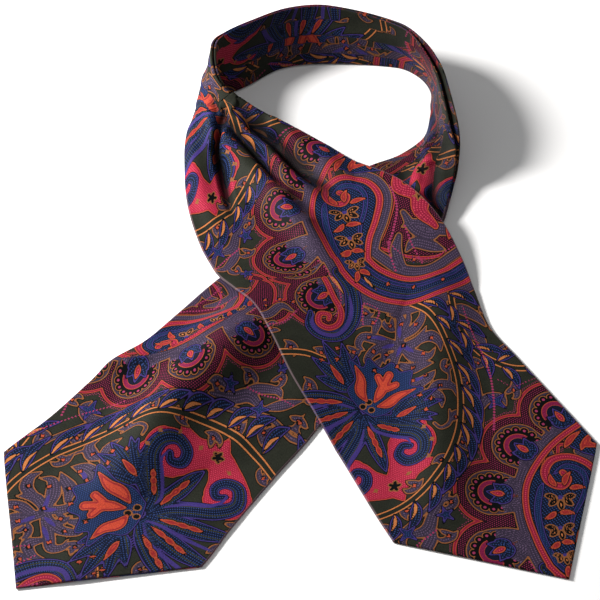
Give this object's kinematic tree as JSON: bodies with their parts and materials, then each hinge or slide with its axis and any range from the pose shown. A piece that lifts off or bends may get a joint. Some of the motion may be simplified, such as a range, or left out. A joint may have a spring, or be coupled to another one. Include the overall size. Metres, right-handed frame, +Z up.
{
  "type": "silk cravat",
  "caption": "Silk day cravat laid out with its pleated neck loop standing on edge and the front blade crossing over the back blade, all-over paisley twill.",
  "frame": {"origin": "centre of the footprint at table height, where the cloth rests", "axes": "+Z up from the table, +Y away from the blades' points towards the neck loop, +X towards the front blade's side"},
  "size_m": [0.3852, 0.5164, 0.0456],
  "materials": {
    "printed_silk": "silk twill with a soft sheen, all-over paisley print"
  },
  "bodies": {
    "root": {"front_blade": "printed_silk", "back_blade": "printed_silk", "neck_band": "printed_silk", "neck_pleats": "printed_silk"}
  },
  "joints": []
}
